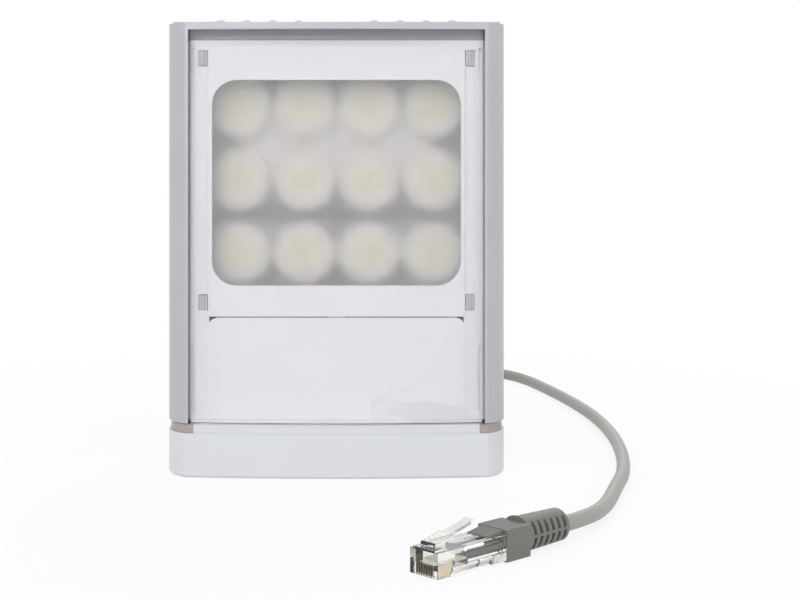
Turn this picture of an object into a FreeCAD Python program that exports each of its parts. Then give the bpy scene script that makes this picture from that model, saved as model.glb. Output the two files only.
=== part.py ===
import FreeCAD, Part
import math
import os

import Sketcher

# White light illuminator: a finned housing with a clear front cover, twelve LEDs behind a
# frosted window, a white end cap and a short network lead. It stands on its end cap.
# Millimetres, X to the right, the front faces -Y, Z up, origin under the middle of the housing.

SIZES = {
    # The plan outline that housing, cover and cap share.
    "housing_width": 135.0, "rear_depth": 35.9, "crease_half": 60.0, "crease_depth": 32.4,
    "corner_end_depth": 19.0, "front_radius": 582.0, "corner_radius": 15.72,
    # The end cap with its lip, gasket and screws.
    "cap_height": 17.5, "cap_wall": 2.5, "cap_floor": 3.0, "cap_bevel": 1.0, "boss_radius": 3.6,
    "lip_top": 21.1, "lip_setback": 0.5, "lip_wall": 1.5, "lip_half": 56.6,
    "gasket_inset": 0.8, "gasket_width": 1.6, "gasket_overlap": 1.2,
    "cap_screw_inset": 3.1, "cap_screw_front": 2.5, "cap_screw_rear": 11.0, "cap_screw_end": 30.0,
    "cap_head_low": 0.6, "cap_head_radius": 2.2, "cap_head_height": 2.2,
    # The die cast housing.
    "housing_bottom": 21.0, "housing_top": 182.4, "fin_top": 183.4, "rim_front": 5.6,
    "rim_top": 3.0, "opening_half": 62.0, "floor_top": 24.0, "floor_front": 19.8, "floor_half": 58.0,
    "web_front": 2.0, "web_rear": 4.0, "chamber_top": 66.0, "chamber_rear": 12.0,
    "chamber_wall": 4.0, "chamber_half": 60.0, "fin_pitch": 10.8, "fin_first": 15.8,
    "fin_thickness": 2.6, "spine_half": 10.5, "side_wall": 4.0, "side_fin_rear": 26.0,
    "shoulder_half": 63.5, "shoulder_drop": 2.0, "shoulder_rise": 0.1, "shoulder_dip": 0.2,
    "shoulder_depth": 3.0, "fixing_pitch": 40.0, "fixing_height": 120.0, "fixing_radius": 2.5,
    "fixing_depth": 14.0,
    # The clear cover, its bezel and the seal behind them.
    "cover_bottom": 21.4, "cover_top": 180.0, "cover_wall": 2.5, "cover_roof": 2.6,
    "cover_rear": 6.0, "clear_half": 58.7, "clear_top": 177.2, "clear_rear": 25.0,
    "panel_rise": 0.4, "panel_half": 52.3, "panel_top": 173.9, "panel_corner": 3.0,
    "seal_inset": 0.3, "seal_width": 1.9,
    # The white chassis with what closes its bay.
    "fascia_half": 60.4, "fascia_bottom": 22.2, "fascia_top": 173.1, "fascia_front": 27.6,
    "fascia_wall": 2.0, "fascia_corner": 1.5, "leg_front": 4.2, "leg_drop": 3.0,
    "flange_low": 21.6, "flange_high": 22.6, "flange_half": 58.0, "flange_gap": 0.4,
    "baffle_half": 60.0, "baffle_setback": 0.4,
    "bay_half": 50.5, "bay_bottom": 27.0, "bay_top": 167.8,
    "groove_near": 56.4, "groove_far": 57.5, "groove_depth": 1.0,
    "upper_groove_low": 158.9, "upper_groove_high": 170.0,
    "lower_groove_low": 26.0, "lower_groove_high": 51.5,
    "frame_half": 51.0, "frame_bottom": 63.3, "frame_top": 171.2, "trim_front": 28.3,
    "window_half_width": 49.4, "window_half_height": 40.9, "window_height": 116.4,
    "window_corner": 9.9, "trim_corner": 4.0, "trim_step": 2.0, "diffuser_rear": 25.4,
    "diffuser_margin": 2.6, "diffuser_flange": 1.6, "diffuser_gap": 0.15,
    "diffuser_rise": 0.1,
    "blank_top": 62.9, "blank_bottom": 22.6, "blank_setback": 0.2, "fit_gap": 0.2,
    "clip_near": 51.2, "clip_far": 54.6, "clip_height": 6.0, "clip_upper": 166.0,
    "clip_lower": 69.0, "clip_root": 0.9, "clip_rise": 0.4, "finger_rise": 0.8, "finger_half": 0.5,
    # The LEDs: board, emitters, optics and trays.
    "led_pitch_wide": 26.0, "led_pitch_tall": 29.4, "led_middle": 117.6, "board_half": 52.0,
    "board_low": 71.0, "board_high": 164.0, "pad_thickness": 0.4, "board_thickness": 1.6,
    "board_screw_rise": 5.0, "board_screw_length": 5.9, "board_hole_depth": 4.0, "board_head_radius": 2.75,
    "board_head_height": 1.8, "emitter_half": 2.6, "emitter_height": 1.0, "dome_radius": 1.9,
    "optic_front": 16.6, "optic_flange": 1.0, "optic_radius": 10.9, "optic_base": 5.6,
    "optic_base_radius": 5.2, "recess_radius": 3.9, "recess_depth": 3.2, "optic_gap": 0.05,
    "holder_radius": 12.4, "tray_front": 13.5, "tray_rear": 12.0, "tray_strip_half": 4.0,
    "ribbon_half": 46.0, "ribbon_low": 100.7, "ribbon_high": 105.1, "ribbon_thickness": 1.4,
    "tail_half": 1.0, "tail_low": 61.0,
    # The driver board in the wiring chamber.
    "driver_front": 4.0, "driver_rear": 5.6, "driver_half": 52.0, "driver_low": 28.0,
    "driver_high": 62.0, "standoff_side": 48.0, "standoff_inset": 3.0, "standoff_radius": 2.6,
    "driver_screw": 1.2, "driver_head_radius": 2.2, "driver_head_height": 1.6,
    "driver_screw_length": 5.2, "lead_hole": 3.2,
    "core_near": 23.0, "core_far": 45.0, "core_low": 36.0, "core_high": 54.0,
    "core_height": 15.0, "core_limb": 3.5, "core_yoke": 2.5, "bobbin_height": 14.0,
    "inductor_radius": 6.4, "inductor_bore": 2.4, "inductor_height": 8.6,
    "capacitor_radius": 4.0, "capacitor_height": 13.0, "chip_length": 6.0, "chip_width": 5.0,
    "chip_height": 1.6, "socket_half": 9.0, "socket_height": 8.0, "socket_depth": 13.0,
    "supply_half": 3.5, "supply_low": 55.0, "supply_high": 61.0, "supply_height": 10.0,
    # The cable gland, measured along its axis from the plane y = 0.
    "gland_side": 32.0, "gland_height": 45.0, "lead_diameter": 5.4, "lead_start": 1.0,
    "lead_exit": 62.0, "gland_thread": 6.0, "gland_inner": 8.2, "gland_clearance": 13.0,
    "hexagon_radius": 11.0, "hexagon_length": 5.0, "barrel_radius": 8.0, "barrel_end": 29.0,
    "seal_radius": 5.4, "seal_start": 24.0, "seal_end": 31.0, "locknut_radius": 9.6,
    "locknut_length": 2.8, "nut_radius": 10.2, "nut_start": 22.0, "nut_shoulder": 32.0,
    "nut_end": 38.0, "dome_wide": 8.8, "dome_narrow": 6.4, "sleeve_wide": 4.5,
    "sleeve_narrow": 3.5, "ring_wide": 5.6, "ring_step": 0.32, "ring_pitch": 4.4,
    "ring_length": 2.4,
    # The plug, measured from its nose, with X along it and Z up from the ground.
    "plug_nose_side": 26.5, "plug_nose_depth": 172.0, "plug_length": 31.5, "plug_width": 11.7,
    "plug_height": 7.9, "plug_lift": 0.6, "plug_axis": 5.0, "plug_bore": 2.75,
    "jacket_start": 14.0, "ledge_length": 4.6, "ledge_half": 4.6, "ledge_rise": 0.6,
    "contact_front": 0.4, "contact_end": 7.2, "contact_low": 0.9, "contact_high": 4.2,
    "contact_half": 0.16, "slot_half": 0.28, "slot_clearance": 0.4,
    "bay_front": 8.4, "bay_end": 14.2, "wire_bay_half": 4.3, "wire_bay_low": 2.6,
    "wire_bay_high": 6.8, "wire_radius": 0.42, "wire_height": 4.6, "wire_gap": 0.1,
    "groove_front": 5.6, "groove_stop": 7.0, "groove_inward": 1.1, "groove_top": 2.0,
    "top_recess_half": 3.2, "top_recess_start": 6.0, "top_recess_depth": 0.5,
    # The boot behind the plug and the latch lever on it.
    "boot_length": 33.5, "boot_block": 11.5, "boot_width": 12.2, "boot_height": 10.2,
    "boot_axis": 5.6, "shoulder_wide": 6.3, "shoulder_length": 2.0, "tail_wide": 5.9,
    "tail_narrow": 5.4, "tail_end": 4.3, "tail_round": 1.2, "notch_first": 13.9,
    "notch_pitch": 3.1, "notch_length": 1.5, "notch_height": 4.3, "notch_low": 0.9,
    "notch_split": 0.9, "notch_core": 3.6, "hood_start": 24.5, "hood_low": 8.55,
    "hood_front_top": 9.0, "hood_half": 4.4,
    "latch_along": 2.4, "latch_up": 9.9, "latch_root_radius": 0.75, "latch_root_half": 3.0,
    "latch_wide_half": 3.1, "latch_narrow_half": 1.9, "latch_step": 8.0, "latch_length": 19.0,
    "latch_thickness": 1.0,
}
PLUG_TURN = 43.0
LATCH_ANGLE = 13.5
CONTACTS = 8
CONTACT_PITCH = 1.02
NOTCHES = 6
SLEEVE_RINGS = 5
FINS_PER_SIDE = 4
SCREW_RADIUS = 1.5
HOLE_GAP = 0.2

# How far joined shapes run into each other, and a plane well in front of everything.
OVERLAP = 1.0
AHEAD = 40.0

# Where the small parts stand on the driver board, as x and z.
CAPACITOR_PLACES = ((-17.0, 53.0), (-8.6, 53.0), (14.0, 53.0))
CHIP_PLACES = ((0.0, 33.0), (9.0, 33.0), (2.0, 42.0), (12.0, 42.0))
INDUCTOR_PLACE = (-12.0, 37.0)
NODES = []

# Corners of the lead's route, from the gland sleeve to the boot.
FLOOR = 2.75
LEAD_ROUTE = [
    (32.0, 62.0, 45.0), (32.0, 79.0, 45.0), (32.4, 104.0, 34.5), (33.2, 130.0, 16.5),
    (33.8, 156.0, FLOOR), (34.4, 186.0, FLOOR), (35.0, 210.0, FLOOR), (48.5, 229.0, FLOOR),
    (70.0, 236.0, FLOOR), (91.0, 227.5, FLOOR), (103.0, 206.0, FLOOR), (110.5, 172.0, FLOOR),
    (117.5, 133.0, FLOOR), (122.5, 90.0, FLOOR), (123.0, 45.0, FLOOR), (119.5, 2.0, FLOOR),
    (113.0, -36.0, FLOOR), (105.5, -60.0, FLOOR), (96.0, -92.0, FLOOR), (85.008, -117.44, 5.0),
    (74.038, -127.67, 5.0),
]


class Term:
    """A size, held both as text for an expression and as its value."""

    def __init__(self, text, value):
        self.text = text
        self.value = value

    def __add__(self, other):
        other = as_term(other)
        return Term(f"({self.text} + {other.text})", self.value + other.value)

    def __sub__(self, other):
        other = as_term(other)
        return Term(f"({self.text} - {other.text})", self.value - other.value)

    def __mul__(self, factor):
        return Term(f"({self.text} * {factor})", self.value * factor)

    def __truediv__(self, divisor):
        return Term(f"({self.text} / {divisor})", self.value / divisor)

    def __neg__(self):
        return Term(f"(-{self.text})", -self.value)


def as_term(number):
    return number if isinstance(number, Term) else Term(repr(float(number)), float(number))


def size(name):
    """The sheet's cell of that name."""
    return Term(f"Size.{name}", getattr(sheet, name))


def bind(item, prop, term):
    item.setExpression(prop, as_term(term).text)


def node(item, name):
    """Marks an object as a finished piece of that name."""
    item.Label = name
    NODES.append(item)
    return item


def place(item, x, y, z):
    bind(item, "Placement.Base.x", x)
    bind(item, "Placement.Base.y", y)
    bind(item, "Placement.Base.z", z)
    return item


def box(x, y, z):
    """A box between pairs of planes."""
    item = doc.addObject("Part::Box", "box")
    bind(item, "Length", as_term(x[1]) - x[0])
    bind(item, "Width", as_term(y[1]) - y[0])
    bind(item, "Height", as_term(z[1]) - z[0])
    return place(item, x[0], y[0], z[0])


TURNS = {"x": FreeCAD.Rotation(FreeCAD.Vector(0, 1, 0), 90),
         "y": FreeCAD.Rotation(FreeCAD.Vector(1, 0, 0), -90),
         "z": FreeCAD.Rotation()}


def cylinder(radius, start, length, axis="y"):
    """A cylinder that runs from a point along +X, +Y or +Z."""
    item = doc.addObject("Part::Cylinder", "cylinder")
    item.Placement = FreeCAD.Placement(FreeCAD.Vector(), TURNS[axis])
    bind(item, "Radius", radius)
    bind(item, "Height", length)
    return place(item, *start)


def cone(radius, far_radius, start, length, axis="y"):
    item = doc.addObject("Part::Cone", "cone")
    item.Placement = FreeCAD.Placement(FreeCAD.Vector(), TURNS[axis])
    bind(item, "Radius1", radius)
    bind(item, "Radius2", far_radius)
    bind(item, "Height", length)
    return place(item, *start)


def prism(sides, radius, start, length):
    """A prism with flats, as on a spanner nut, along +Y."""
    item = doc.addObject("Part::Prism", "prism")
    item.Polygon = sides
    item.Placement = FreeCAD.Placement(FreeCAD.Vector(), TURNS["y"])
    bind(item, "Circumradius", radius)
    bind(item, "Height", length)
    return place(item, *start)


def fuse(shapes):
    item = doc.addObject("Part::MultiFuse", "union")
    item.Shapes = shapes
    return item


def group(shapes):
    """Separate solids that are one named set, such as screws."""
    item = doc.addObject("Part::Compound", "set")
    item.Links = shapes
    return item


def cut(base, tools):
    item = doc.addObject("Part::Cut", "cut")
    item.Base = base
    item.Tool = tools[0] if len(tools) == 1 else fuse(tools)
    return item


def common(base, tool):
    item = doc.addObject("Part::Common", "common")
    item.Base = base
    item.Tool = tool
    return item


def sketch_on(body, role, offset):
    """A sketch on one of the body's origin planes, moved along the plane's normal."""
    sketch = body.newObject("Sketcher::SketchObject", "sketch")
    plane = next(item for item in body.Origin.OriginFeatures if item.Role == role)
    sketch.AttachmentSupport = [(plane, "")]
    sketch.MapMode = "FlatFace"
    bind(sketch, "AttachmentOffset.Base.z", offset)
    return sketch


def arc_between(start, end, radius):
    """The arc that bulges to the right of the way from start to end."""
    chord = end - start
    middle = (start + end) * 0.5
    reach = math.sqrt(radius ** 2 - (chord.Length / 2) ** 2)
    left = FreeCAD.Vector(-chord.y, chord.x, 0).normalize()
    centre = middle + left * reach
    angles = [math.atan2(point.y - centre.y, point.x - centre.x) for point in (start, end)]
    return Part.ArcOfCircle(Part.Circle(centre, FreeCAD.Vector(0, 0, 1), radius), *angles)


def draw_loop(sketch, corners):
    """A closed loop, anticlockwise. A corner may carry the radius of the arc that starts there."""
    points = [FreeCAD.Vector(as_term(c[0]).value, as_term(c[1]).value, 0) for c in corners]
    first = sketch.GeometryCount
    for index, corner in enumerate(corners):
        following = points[(index + 1) % len(points)]
        if len(corner) == 3:
            sketch.addGeometry(arc_between(points[index], following, corner[2].value))
        else:
            sketch.addGeometry(Part.LineSegment(points[index], following))
    for index, corner in enumerate(corners):
        edge = first + index
        following = first + (index + 1) % len(corners)
        sketch.addConstraint(Sketcher.Constraint("Coincident", edge, 2, following, 1))
        for kind, value in (("DistanceX", corner[0]), ("DistanceY", corner[1])):
            term = as_term(value)
            number = sketch.addConstraint(
                Sketcher.Constraint(kind, -1, 1, edge, 1, term.value))
            sketch.setExpression(f"Constraints[{number}]", term.text)
        if len(corner) == 3:
            number = sketch.addConstraint(
                Sketcher.Constraint("Radius", edge, corner[2].value))
            sketch.setExpression(f"Constraints[{number}]", corner[2].text)


def rectangle(x, y):
    return [(x[0], y[0]), (x[1], y[0]), (x[1], y[1]), (x[0], y[1])]


def rounded_rectangle(x, y, radius):
    """A rectangle with four round corners."""
    low_x, high_x = as_term(x[0]), as_term(x[1])
    low_y, high_y = as_term(y[0]), as_term(y[1])
    return [(low_x + radius, low_y), (high_x - radius, low_y, radius),
            (high_x, low_y + radius), (high_x, high_y - radius, radius),
            (high_x - radius, high_y), (low_x + radius, high_y, radius),
            (low_x, high_y - radius), (low_x, low_y + radius, radius)]


def arched_rectangle(x, y, radius):
    """A rectangle whose two upper corners are round."""
    low_x, high_x = as_term(x[0]), as_term(x[1])
    low_y, high_y = as_term(y[0]), as_term(y[1])
    return [(low_x, low_y), (high_x, low_y), (high_x, high_y - radius, radius),
            (high_x - radius, high_y), (low_x + radius, high_y, radius),
            (low_x, high_y - radius)]


def new_body():
    return doc.addObject("PartDesign::Body", "body")


def pad(body, role, offset, loops, length):
    """Adds a thickness of the loops along the plane's normal."""
    sketch = sketch_on(body, role, offset)
    for loop in loops:
        draw_loop(sketch, loop)
    feature = body.newObject("PartDesign::Pad", "pad")
    feature.Profile = sketch
    bind(feature, "Length", length)
    return feature


def pocket(body, role, offset, loops, length):
    """Takes the loops away, against the plane's normal, and checks that it cut."""
    doc.recompute()
    before = body.Shape.Volume
    sketch = sketch_on(body, role, offset)
    for loop in loops:
        draw_loop(sketch, loop)
    feature = body.newObject("PartDesign::Pocket", "pocket")
    feature.Profile = sketch
    bind(feature, "Length", length)
    doc.recompute()
    assert body.Shape.Volume < before - 1.0, "a pocket cut nothing"
    return feature


def plan_outline(inset, rear, half=None):
    """The plan of the housing and cap: bowed front, a crease, a curved facet, straight sides."""
    crease = size("crease_half") - inset
    crease_y = -size("crease_depth") + inset
    side = size("housing_width") / 2 - inset
    facet_y = -size("corner_end_depth") + inset
    return [(-crease, crease_y, size("front_radius")), (crease, crease_y, size("corner_radius")),
            (side, facet_y), (side, rear), (-side, rear),
            (-side, facet_y, size("corner_radius"))]


def both_sides(x, y):
    """The same rectangle at +X and at -X."""
    low, high = as_term(x[0]), as_term(x[1])
    return [rectangle((low, high), y), rectangle((-high, -low), y)]


def plan_plate(inset, rear, low, high):
    """A plate of the housing's plan outline between two heights."""
    body = new_body()
    pad(body, "XY_Plane", low, [plan_outline(inset, rear)], as_term(high) - low)
    return body


def front_plate(loop, front, rear):
    """A plate parallel to the front, from y = -front to y = -rear."""
    body = new_body()
    pad(body, "XZ_Plane", rear, [loop], as_term(front) - rear)
    return body


def make_rear_housing():
    """Die cast body: rim, floor, web, wiring chamber, fins and the fixing spine."""
    body = new_body()
    bottom, top = size("housing_bottom"), size("housing_top")
    half = size("housing_width") / 2
    web_rear, rear = size("web_rear"), size("rear_depth")
    pad(body, "XY_Plane", bottom, [rectangle((-half, half), (-size("rim_front"), web_rear))],
        top - bottom)
    tongue = size("floor_half")
    pad(body, "XY_Plane", bottom,
        [rectangle((-tongue, tongue), (-size("floor_front"), -size("rim_front") + OVERLAP))],
        size("floor_top") - bottom)
    chamber_back = size("chamber_rear") + size("chamber_wall")
    pad(body, "XY_Plane", bottom, [rectangle((-half, half), (as_term(0.0), chamber_back))],
        size("chamber_top") + size("chamber_wall") - bottom)
    inside = web_rear - OVERLAP
    pad(body, "XY_Plane", bottom,
        both_sides((half - size("side_wall"), half), (inside, size("side_fin_rear"))), top - bottom)
    fins = []
    for step in range(FINS_PER_SIDE):
        centre = size("fin_first") + size("fin_pitch") * step
        edge = size("fin_thickness") / 2
        fins += both_sides((centre - edge, centre + edge), (as_term(0.0), rear))
    pad(body, "XY_Plane", bottom, fins, size("fin_top") - bottom)
    spine = size("spine_half")
    pad(body, "XY_Plane", bottom, [rectangle((-spine, spine), (inside, rear))], top - bottom)
    outer_fin = size("fin_first") + size("fin_pitch") * (FINS_PER_SIDE - 1)
    shoulder_low = top - size("shoulder_drop")
    shoulder = [(outer_fin, shoulder_low), (size("shoulder_half"), shoulder_low),
                (size("shoulder_half"), top + size("shoulder_rise")),
                (outer_fin, size("fin_top") - size("shoulder_dip"))]
    mirrored = [(-x, z) for x, z in reversed(shoulder)]
    pad(body, "XZ_Plane", -web_rear, [shoulder, mirrored], size("shoulder_depth"))
    opening, ahead = size("opening_half"), as_term(AHEAD)
    pocket(body, "XZ_Plane", ahead,
           [rectangle((-opening, opening), (size("floor_top"), top - size("rim_top")))],
           ahead - size("web_front"))
    chamber = size("chamber_half")
    pocket(body, "XZ_Plane", ahead,
           [rectangle((-chamber, chamber), (size("floor_top"), size("chamber_top")))],
           ahead + size("chamber_rear"))
    return cut(body, housing_holes(bottom, rear, chamber_back))


def housing_holes(bottom, rear, chamber_back):
    """Fixing holes, screw holes and the way out for the gland."""
    holes = [cylinder(size("fixing_radius"), (0.0, rear - size("fixing_depth"), height),
                      size("fixing_depth") + OVERLAP) for height in fixing_heights()]
    web = -size("web_front")
    holes += [cylinder(SCREW_RADIUS, (x, web - OVERLAP, z), size("board_hole_depth") + OVERLAP)
              for x, z in board_screw_places()]
    screw_depth = size("cap_screw_end") - bottom
    holes += [cylinder(SCREW_RADIUS, (x, y, bottom - OVERLAP), screw_depth + 2 * OVERLAP, "z")
              for x, y in cap_screw_places()]
    side, height = size("gland_side"), size("gland_height")
    holes.append(cylinder(size("gland_thread"), (side, size("chamber_rear") - OVERLAP, height),
                          size("chamber_wall") + 2 * OVERLAP))
    holes.append(cylinder(size("gland_clearance"), (side, chamber_back, height),
                          rear - chamber_back + OVERLAP))
    return holes


def fixing_heights():
    middle = size("fixing_height")
    return [middle - size("fixing_pitch") / 2, middle + size("fixing_pitch") / 2]


def board_screw_places():
    wide = size("led_pitch_wide")
    between = size("led_middle") + size("led_pitch_tall") / 2
    low = size("board_low") + size("board_screw_rise")
    return [(-wide, low), (wide, low), (-wide, between), (as_term(0.0), between), (wide, between)]


def cap_screw_places():
    side = size("housing_width") / 2 - size("cap_screw_inset")
    return [(x, y) for y in (-size("cap_screw_front"), size("cap_screw_rear")) for x in (-side, side)]


def led_places():
    """Axes of the twelve LEDs: four columns and three rows, the lowest row first."""
    places = []
    for row in (-1, 0, 1):
        for column in (-1.5, -0.5, 0.5, 1.5):
            places.append((size("led_pitch_wide") * column,
                           size("led_middle") + size("led_pitch_tall") * row))
    return places


def cover_shell():
    """One wall for the bowed front, corner facets, sides and roof, with a shallow raised panel."""
    low, high = size("cover_bottom"), size("cover_top")
    wall, rear = size("cover_wall"), size("cover_rear")
    shell = cut(plan_plate(0.0, -rear, low, high),
                [plan_plate(wall, 0.0, low - OVERLAP, high - size("cover_roof"))])
    panel = size("panel_half")
    panel_front = front_plate(
        arched_rectangle((-panel, panel), (low, size("panel_top")), size("panel_corner")),
        AHEAD, size("crease_depth"))
    raised = common(plan_plate(-size("panel_rise"), -rear, low, high), panel_front)
    raised = cut(raised, [plan_plate(wall / 2, 0.0, low - OVERLAP, high + OVERLAP)])
    return fuse([shell, raised])


def clear_space():
    """The space inside the bezel, where the front is clear."""
    half = size("clear_half")
    return box((-half, half), (-AHEAD, -size("clear_rear")),
               (size("cover_bottom") - OVERLAP, size("clear_top")))


def make_front_cover():
    """Clear front with its raised panel."""
    return common(cover_shell(), clear_space())


def make_cover_bezel():
    """Silver frame moulded round the clear front: corner facets, sides and roof."""
    return cut(cover_shell(), [clear_space()])


def make_cover_seal():
    """Bead of clear silicone between the bezel's rear edge and the housing's rim."""
    half = size("housing_width") / 2 - size("seal_inset")
    low, high = size("cover_bottom"), size("cover_top") - size("seal_inset")
    inner, roof = half - size("seal_width"), high - size("seal_width")
    front, rear = -size("cover_rear"), -size("rim_front")
    block = box((-half, half), (front, rear), (low, high))
    return cut(block, [box((-inner, inner), (front - OVERLAP, rear + OVERLAP), (low - OVERLAP, roof))])


def make_fascia():
    """White chassis: front plate with its bay, slots and grooves, and legs back to the web."""
    half, low, high = size("fascia_half"), size("fascia_bottom"), size("fascia_top")
    front, wall = size("fascia_front"), size("fascia_wall")
    body = new_body()
    pad(body, "XZ_Plane", front - wall,
        [rounded_rectangle((-half, half), (low, high), size("fascia_corner")),
         rectangle((-size("bay_half"), size("bay_half")), (size("bay_bottom"), size("bay_top")))],
        wall)
    leg_top = high - size("leg_drop")
    leg_start = front - wall / 2
    pad(body, "XZ_Plane", size("web_front"),
        both_sides((half - wall, half), (size("floor_top") + size("fit_gap"), leg_top)),
        leg_start - size("web_front"))
    pad(body, "XZ_Plane", size("leg_front"),
        [rectangle((-half + wall, half - wall), (leg_top - wall, leg_top))],
        leg_start - size("leg_front"))
    across = (size("groove_near"), size("groove_far"))
    grooves = both_sides(across, (size("upper_groove_low"), size("upper_groove_high")))
    grooves += both_sides(across, (size("lower_groove_low"), size("lower_groove_high")))
    reach = size("clip_height") / 2 + size("fit_gap")
    for height in (size("clip_upper"), size("clip_lower")):
        grooves += both_sides((size("clip_near") - size("fit_gap"), size("clip_far") + size("fit_gap")),
                              (height - reach, height + reach))
    pocket(body, "XZ_Plane", front + OVERLAP, grooves, size("groove_depth") + OVERLAP)
    flange_half = size("flange_half")
    flange_low, flange_high = size("flange_low"), size("flange_high")
    flange_rear = -front + OVERLAP
    flange = common(plan_plate(size("cover_wall") + size("flange_gap"), flange_rear,
                               flange_low, flange_high),
                    box((-flange_half, flange_half), (-AHEAD, flange_rear), (flange_low, flange_high)))
    return fuse([body, flange])


def make_top_baffle():
    """Grey foam strip that fills the gap between the chassis and the bezel's roof."""
    half, front = size("baffle_half"), size("fascia_front")
    return box((-half, half), (-front + size("baffle_setback"), -front + size("fascia_wall")),
               (size("fascia_top"), size("cover_top") - size("cover_roof")))


def make_lens_frame():
    """White frame round the window, with rounded upper corners and a step into the bay."""
    half, low, high = size("frame_half"), size("frame_bottom"), size("frame_top")
    front = size("fascia_front")
    flange = front_plate(arched_rectangle((-half, half), (low, high), size("trim_corner")),
                         size("trim_front"), front)
    inner = size("bay_half") - size("fit_gap")
    step = front_plate(rectangle((-inner, inner),
                                 (low + size("trim_step"), size("bay_top") - size("fit_gap"))),
                       front, size("diffuser_rear"))
    return cut(fuse([flange, step]), [window_plug(0.0, AHEAD, OVERLAP)])


def window_plug(gap, front, rear):
    """The window's rounded shape, smaller by a gap all round."""
    wide, tall = size("window_half_width") - gap, size("window_half_height") - gap
    middle = size("window_height")
    return front_plate(rounded_rectangle((-wide, wide), (middle - tall, middle + tall),
                                         size("window_corner") - gap), front, rear)


def make_diffuser_lens():
    """Frosted lens: it fills the window, with a flange behind the frame."""
    margin = size("diffuser_margin")
    wide, tall = size("window_half_width") + margin, size("window_half_height") + margin
    middle, rear = size("window_height"), size("diffuser_rear")
    flange = front_plate(rectangle((-wide, wide), (middle - tall, middle + tall)),
                         rear, rear - size("diffuser_flange"))
    face = size("fascia_front") + size("diffuser_rise")
    return fuse([flange, window_plug(size("diffuser_gap"), face, rear)])


def make_lower_panel():
    """Blank panel over the wiring bay, with rounded upper corners."""
    half, low, high = size("frame_half"), size("blank_bottom"), size("blank_top")
    front = size("fascia_front")
    face = front_plate(arched_rectangle((-half, half), (low, high), size("trim_corner")),
                       size("trim_front") - size("blank_setback"), front)
    inner = size("bay_half") - size("fit_gap")
    rim = front_plate(rectangle((-inner, inner),
                                (size("bay_bottom") + size("fit_gap"), high - size("trim_step"))),
                      front, front - size("fascia_wall"))
    return fuse([face, rim])


def make_lens_clip(side, height):
    """Small clip beside the lens frame, with a raised finger."""
    near, far = size("clip_near") * side, size("clip_far") * side
    x = (near, far) if side > 0 else (far, near)
    front, tall = size("fascia_front"), size("clip_height") / 2
    z = (height - tall, height + tall)
    base = box(x, (-front - size("clip_rise"), -front + size("clip_root")), z)
    middle, finger_half = (x[0] + x[1]) / 2, size("finger_half")
    finger = box((middle - finger_half, middle + finger_half), (-front - size("finger_rise"), -front), z)
    return fuse([base, finger])


def cap_head_seat():
    return size("cap_head_low") + size("cap_head_height")


def make_bottom_cap():
    """Moulded end cap: a tray with a bevelled foot, screw bosses and a lip along the front."""
    rear = size("chamber_rear") + size("chamber_wall")
    high, wall, floor = size("cap_height"), size("cap_wall"), size("cap_floor")
    block = plan_plate(0.0, rear, 0.0, high)
    doc.recompute()
    bevelled = doc.addObject("Part::Chamfer", "bevel")
    bevelled.Base = block
    foot = [number for number, edge in enumerate(block.Shape.Edges, start=1)
            if edge.BoundBox.ZMax < 1e-6]
    bevel = size("cap_bevel").value
    bevelled.Edges = [(number, bevel, bevel) for number in foot]
    tray = cut(bevelled, [plan_plate(wall, rear - wall, floor, high + OVERLAP)])
    bosses = fuse([cylinder(size("boss_radius"), (x, y, floor - OVERLAP), high - floor + OVERLAP, "z")
                   for x, y in cap_screw_places()])
    inset = size("lip_setback")
    whole = fuse([tray, common(bosses, plan_plate(inset, rear - inset, inset, high)), make_lip()])
    holes = [cylinder(SCREW_RADIUS, (x, y, -OVERLAP), high + 2 * OVERLAP, "z")
             for x, y in cap_screw_places()]
    head_room = size("cap_head_radius") + HOLE_GAP
    holes += [cylinder(head_room, (x, y, -OVERLAP), cap_head_seat() + OVERLAP, "z")
              for x, y in cap_screw_places()]
    return cut(whole, holes)


def ring_plate(outer, inner, low, high):
    rear = size("chamber_rear") + size("chamber_wall")
    return cut(plan_plate(outer, rear - outer, low, high),
               [plan_plate(inner, rear - inner, as_term(low) - OVERLAP, as_term(high) + OVERLAP)])


def front_zone(half):
    """The space along the cap's front, between two planes x = -half and x = half."""
    return box((-half, half), (-AHEAD, -AHEAD / 2), (0.0, AHEAD))


def make_lip():
    """The strip that stands up along the cap's front, between the creases."""
    inner = size("lip_setback") + size("lip_wall")
    return common(ring_plate(size("lip_setback"), inner, size("cap_height") - OVERLAP, size("lip_top")),
                  front_zone(size("lip_half")))


def make_cap_gasket():
    """Gasket between housing and cap; along the front it runs behind the lip."""
    low, high = size("cap_height"), size("housing_bottom")
    inset, width, half = size("gasket_inset"), size("gasket_width"), size("lip_half")
    outer = cut(ring_plate(inset, inset + width, low, high), [front_zone(half)])
    behind = size("lip_setback") + size("lip_wall")
    inner = common(ring_plate(behind, behind + width, low, high),
                   front_zone(half + size("gasket_overlap")))
    return cut(fuse([outer, inner]),
               [cylinder(SCREW_RADIUS + HOLE_GAP, (x, y, low - OVERLAP), high - low + 2 * OVERLAP, "z")
                for x, y in cap_screw_places()])


def make_cap_screws():
    seat = cap_head_seat()
    return group([fuse([cylinder(size("cap_head_radius"), (x, y, size("cap_head_low")),
                                 size("cap_head_height"), "z"),
                        cylinder(SCREW_RADIUS, (x, y, seat - OVERLAP),
                                 size("cap_screw_end") - seat + OVERLAP, "z")])
                  for x, y in cap_screw_places()])


def board_plate(front, rear):
    """A plate of the LED board's outline with its screw holes."""
    half = size("board_half")
    plate = box((-half, half), (-as_term(front), -as_term(rear)),
                (size("board_low"), size("board_high")))
    through = size("board_thickness") + 2 * OVERLAP
    return cut(plate, [cylinder(SCREW_RADIUS + HOLE_GAP, (x, -as_term(front) - OVERLAP, z), through)
                       for x, z in board_screw_places()])


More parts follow.
